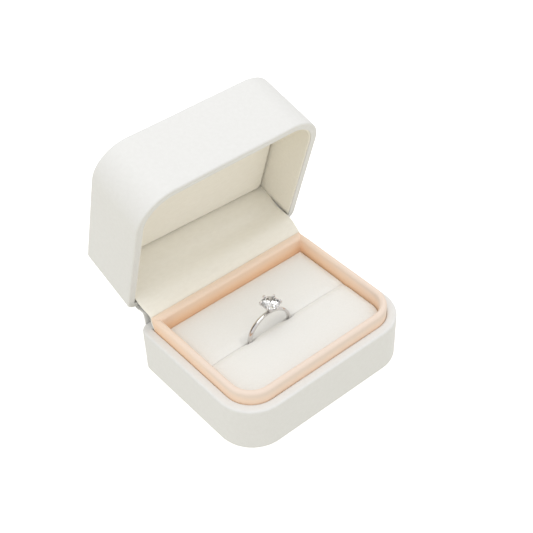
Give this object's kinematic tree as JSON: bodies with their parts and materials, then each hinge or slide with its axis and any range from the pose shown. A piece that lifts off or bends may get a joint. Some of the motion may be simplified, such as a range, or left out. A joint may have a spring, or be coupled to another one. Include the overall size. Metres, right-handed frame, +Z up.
{
  "type": "ring box",
  "caption": "Small clam-shell ring box with rounded front corners, velvet tray with a ring slit, padded lid on a barrel hinge, and a solitaire ring.",
  "frame": {"origin": "centre of the flat underside, on the surface the box stands on", "axes": "+Z up, -Y towards the front that the lid opens to, +X to the right; the lid hinges about an axis along X behind the back wall"},
  "size_m": [0.072, 0.0845, 0.0818],
  "materials": {
    "leatherette": "matte white leatherette, fine grain",
    "moulded_core": "plain moulded",
    "felt_sheet": "thin felted sheet",
    "grey_board": "pressed board",
    "peach_velvet": "short-pile velvet",
    "cream_velvet": "short-pile velvet",
    "cream_suede": "brushed suede cloth",
    "foam": "open-cell foam",
    "nickel_steel": "nickel plated strip",
    "rivet_steel": "plain wire",
    "white_gold": "polished white gold",
    "clear_stone": "brilliant-cut clear stone"
  },
  "bodies": {
    "base": {"base_shell": "moulded_core", "base_wrap": "leatherette", "base_bottom_sheet": "felt_sheet", "tray_board": "grey_board", "collar_core": "grey_board", "collar_velvet": "peach_velvet", "front_pad_foam": "foam", "front_pad_cover": "cream_velvet", "back_pad_foam": "foam", "back_pad_cover": "cream_velvet", "hinge_leaf_base": "nickel_steel", "hinge_rivets_base": "rivet_steel", "hinge_pin": "rivet_steel", "hinge_strip": "leatherette", "hinge_flap": "cream_suede"},
    "lid": {"lid_shell": "moulded_core", "lid_wrap": "leatherette", "lid_wall_lining": "cream_suede", "lid_pad_board": "grey_board", "lid_pad_foam": "foam", "lid_pad_cover": "cream_suede", "hinge_leaf_lid": "nickel_steel", "hinge_rivets_lid": "rivet_steel"},
    "ring": {"ring_shank": "white_gold", "ring_head": "white_gold", "ring_stone": "clear_stone"}
  },
  "joints": [
    {"name": "lid_hinge", "type": "hinge", "parent": "base", "child": "lid", "pos_m": [0, 0.0324, 0.0165], "axis": [1, 0, 0], "range_deg": [0, 73.6], "deforming": ["hinge_flap", "hinge_strip"]},
    {"name": "ring_lift", "type": "slide", "parent": "base", "child": "ring", "axis": [0, 0, -1], "range_m": [-0.039, 0]}
  ]
}
